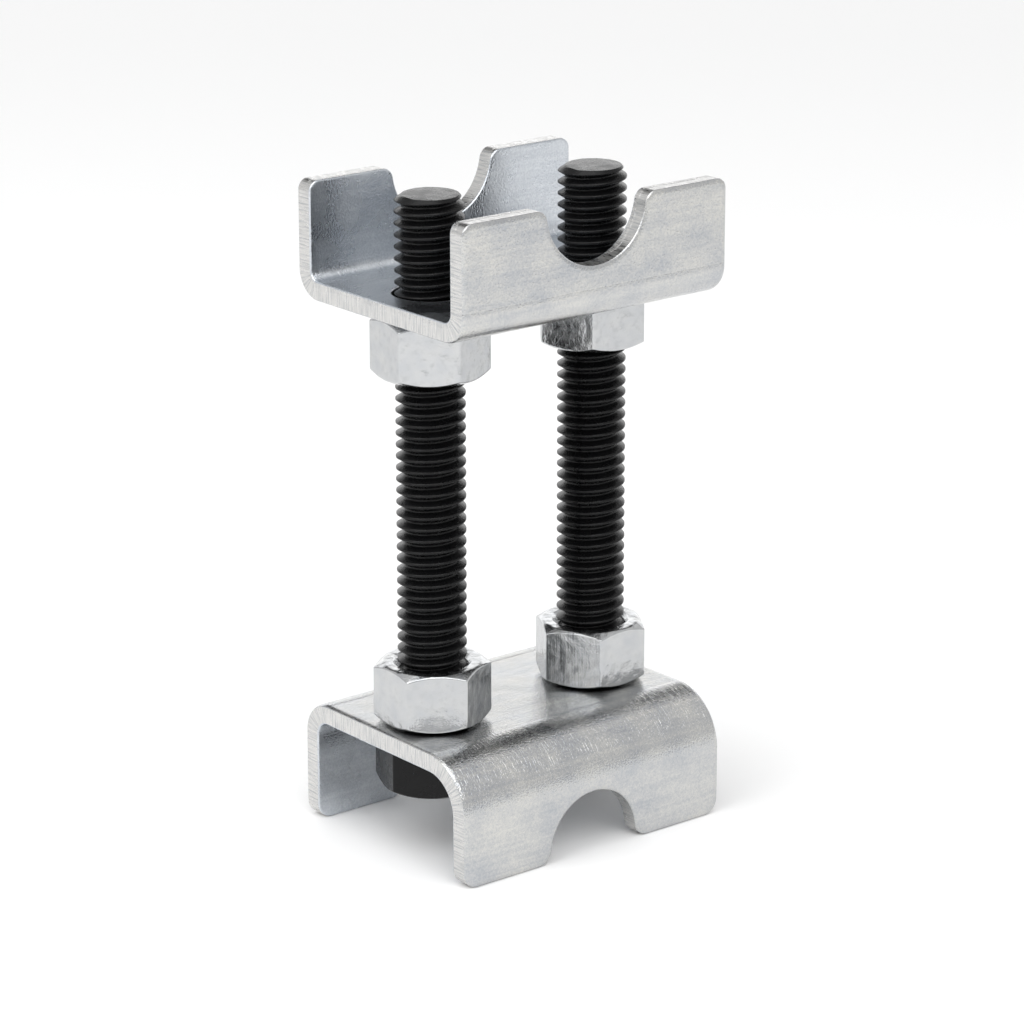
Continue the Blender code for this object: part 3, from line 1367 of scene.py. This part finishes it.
@dataclass(frozen=True)
class SoftBox:
    """An even lamp panel that faces the tool from a given direction.

    Its brightness is what a mirror would show of it, where 1 is paper white.
    """

    name: str
    azimuth: float
    elevation: float
    distance: float
    size: Point
    brightness: float

    def hang(self, middle: Vector) -> None:
        """Hang the panel, facing the middle of the tool.

        Args:
            middle: the middle of the tool.
        """
        lamp = bpy.data.lights.new(self.name, "AREA")
        lamp.shape = "RECTANGLE"
        lamp.size, lamp.size_y = self.size
        lamp.energy = self.brightness * math.pi * self.size[0] * self.size[1]
        thing = bpy.data.objects.new(self.name, lamp)
        away = toward(self.azimuth, self.elevation)
        thing.location = middle + away * self.distance
        thing.rotation_euler = away.to_track_quat("Z", "Y").to_euler()
        bpy.context.scene.collection.objects.link(thing)


@dataclass(frozen=True)
class Card:
    """A flat sheet of matt paper or felt, laid as the floor or hung as a flag."""

    name: str
    colour: str
    size: Point
    roughness: float = 0.9

    def place(self, where: Vector, normal: Vector) -> bpy.types.Object:
        """Put the card up.

        Args:
            where: its middle.
            normal: the direction it faces.

        Returns:
            The card.
        """
        turn = normal.to_track_quat("Z", "Y").to_matrix()
        shape = bmesh.new()
        bmesh.ops.create_grid(shape, x_segments=1, y_segments=1, size=0.5)
        for vertex in shape.verts:
            flat = Vector((vertex.co.x * self.size[0], vertex.co.y * self.size[1], 0))
            vertex.co = where + turn @ flat
        mesh = bpy.data.meshes.new(self.name)
        shape.to_mesh(mesh)
        shape.free()
        made, _, shader = new_finish(self.name)
        shader.inputs["Base Color"].default_value = linear(self.colour)
        shader.inputs["Roughness"].default_value = self.roughness
        mesh.materials.append(made)
        thing = bpy.data.objects.new(self.name, mesh)
        bpy.context.scene.collection.objects.link(thing)
        thing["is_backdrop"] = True
        return thing


@dataclass(frozen=True)
class Camera:
    """The camera, level, turned and tipped by exact angles toward a point on the tool."""

    yaw: float = 39.111
    pitch: float = 16.775
    aim: Point3 = (8.68 * MM, 7.63 * MM, 64.76 * MM)
    distance: float = 0.7258
    lens: float = 139.0
    sensor_width: float = 36.0
    shift: Point = (-0.0107, -0.0498)

    def set_up(self) -> None:
        """Stand the camera and make it the scene's own."""
        data = bpy.data.cameras.new("camera")
        data.lens = self.lens
        data.sensor_width = self.sensor_width
        data.shift_x, data.shift_y = self.shift
        thing = bpy.data.objects.new("camera", data)
        back = toward(270 - self.yaw, self.pitch)
        thing.location = Vector(self.aim) + back * self.distance
        thing.rotation_euler = (math.radians(90 - self.pitch), 0, math.radians(-self.yaw))
        bpy.context.scene.collection.objects.link(thing)
        bpy.context.scene.camera = thing


@dataclass(frozen=True)
class Studio:
    """A pale floor in a soft grey room, with lamp panels and one black flag behind."""

    room: str = "#ffffff"
    room_level: float = 0.78
    flag_azimuth: float = 58
    flag_elevation: float = 43
    flag_distance: float = 1.3
    flag_size: Point = (1.6, 0.6)
    floor_size: Point = (8.0, 8.0)

    def boxes(self) -> tuple[SoftBox, ...]:
        """The lamp panels.

        Returns:
            A low one behind for the webs, one above, and two keys where no fold mirrors them.
        """
        return (
            SoftBox("low back panel", 52, 12, distance=1.8, size=(3.0, 0.7), brightness=0.95),
            SoftBox("top panel", 200, 78, distance=1.1, size=(0.8, 0.8), brightness=1.7),
            SoftBox("left panel", 178, 38, distance=1.3, size=(0.9, 0.9), brightness=2.1),
            SoftBox("front panel", 252, 46, distance=1.3, size=(0.8, 0.8), brightness=2.1),
        )

    def build(self, middle: Vector) -> None:
        """Build the studio round the tool.

        Args:
            middle: the middle of the tool.
        """
        Camera().set_up()
        up = Vector((0, 0, 1))
        # White paper: a pale floor that the lower faces mirror
        paper = Card("matt white paper", "#fafafa", self.floor_size)
        paper.place(-up * FLOOR_GAP, up)
        flag = toward(self.flag_azimuth, self.flag_elevation)
        # Black felt: something dark behind, for the plated faces to mirror
        felt = Card("black felt", "#0a0a0a", self.flag_size)
        felt.place(middle + flag * self.flag_distance, -flag)
        world = bpy.data.worlds.new("grey room")
        bpy.context.scene.world = world
        world.use_nodes = True
        back = world.node_tree.nodes["Background"]
        back.inputs["Color"].default_value = linear(self.room)
        back.inputs["Strength"].default_value = self.room_level
        for box in self.boxes():
            box.hang(middle)
        bpy.context.scene.view_settings.view_transform = "Standard"


def channels() -> tuple[Channel, Channel]:
    """Describe both channels.

    Returns:
        The lower channel, web up, and the upper channel, web down.
    """
    lower = Channel(
        "lower_bracket",
        WebSide.TOP,
        near_bend=10.5 * MM,
        far_bend=6.5 * MM,
        corner=3.0 * MM,
        notch=9.9 * MM,
        notch_drop=1.6 * MM,
        lip=3.0 * MM,
    )
    upper = Channel(
        "upper_bracket",
        WebSide.BOTTOM,
        near_bend=5.5 * MM,
        far_bend=5.5 * MM,
        corner=2.0 * MM,
        notch=11.3 * MM,
        notch_drop=0.1 * MM,
        lip=2.2 * MM,
    )
    return lower, upper


def main() -> None:
    """Build every piece, then the studio."""
    logging.basicConfig(level=logging.INFO, format="%(name)s: %(message)s")
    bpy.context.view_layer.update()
    thread = ThreadForm()
    tree = thread.tree()
    # Jam nuts from drawn bar: bright, with fine upright lines
    drawn_zinc = NutZinc(
        "bright zinc on drawn nut", drawn_depth_mm=0.026, grain_depth_mm=0.022, dulled=0.35
    ).material()
    # Adjusting nuts from a forging: greyer, softly pitted and more grainy
    forged_zinc = NutZinc(
        "bright zinc on forged nut", drawn_depth_mm=0.008, grain_depth_mm=0.034, dulled=0.5
    ).material()
    # Bolts: near black, with grey painted on the crests of the thread, partly rubbed wear and partly
    # a painted highlight
    black = BlackOxide("black oxide on rolled bolt").material()
    bolts = [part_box(name) for name in HEAD_TURNS]
    centres = [(low.x + high.x) / 2 for low, high in bolts]
    spacing = centres[1] - centres[0]
    for channel in channels():
        folds = tuple(channel.stops[1:5])
        # Folded plate: bright and mottled outside, painted brighter and bluer inside as painted
        # reflected light, striped on its cut edges
        plate = PlateZinc("bright zinc on " + channel.node, folds, channel.length / 2).material()
        settle(channel.build(spacing, plate), channel.node)
    for name, turn in NUT_TURNS.items():
        nut = Nut(name, math.radians(turn), thread)
        finish = drawn_zinc if name.startswith("jam") else forged_zinc
        settle(nut.build(tree, finish), name)
    for name, turn in HEAD_TURNS.items():
        bolt = Bolt(name, math.radians(turn), thread)
        settle(bolt.build(tree, black), name)
    low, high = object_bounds()
    Studio().build((low + high) / 2)


if __name__ == "__main__":
    main()
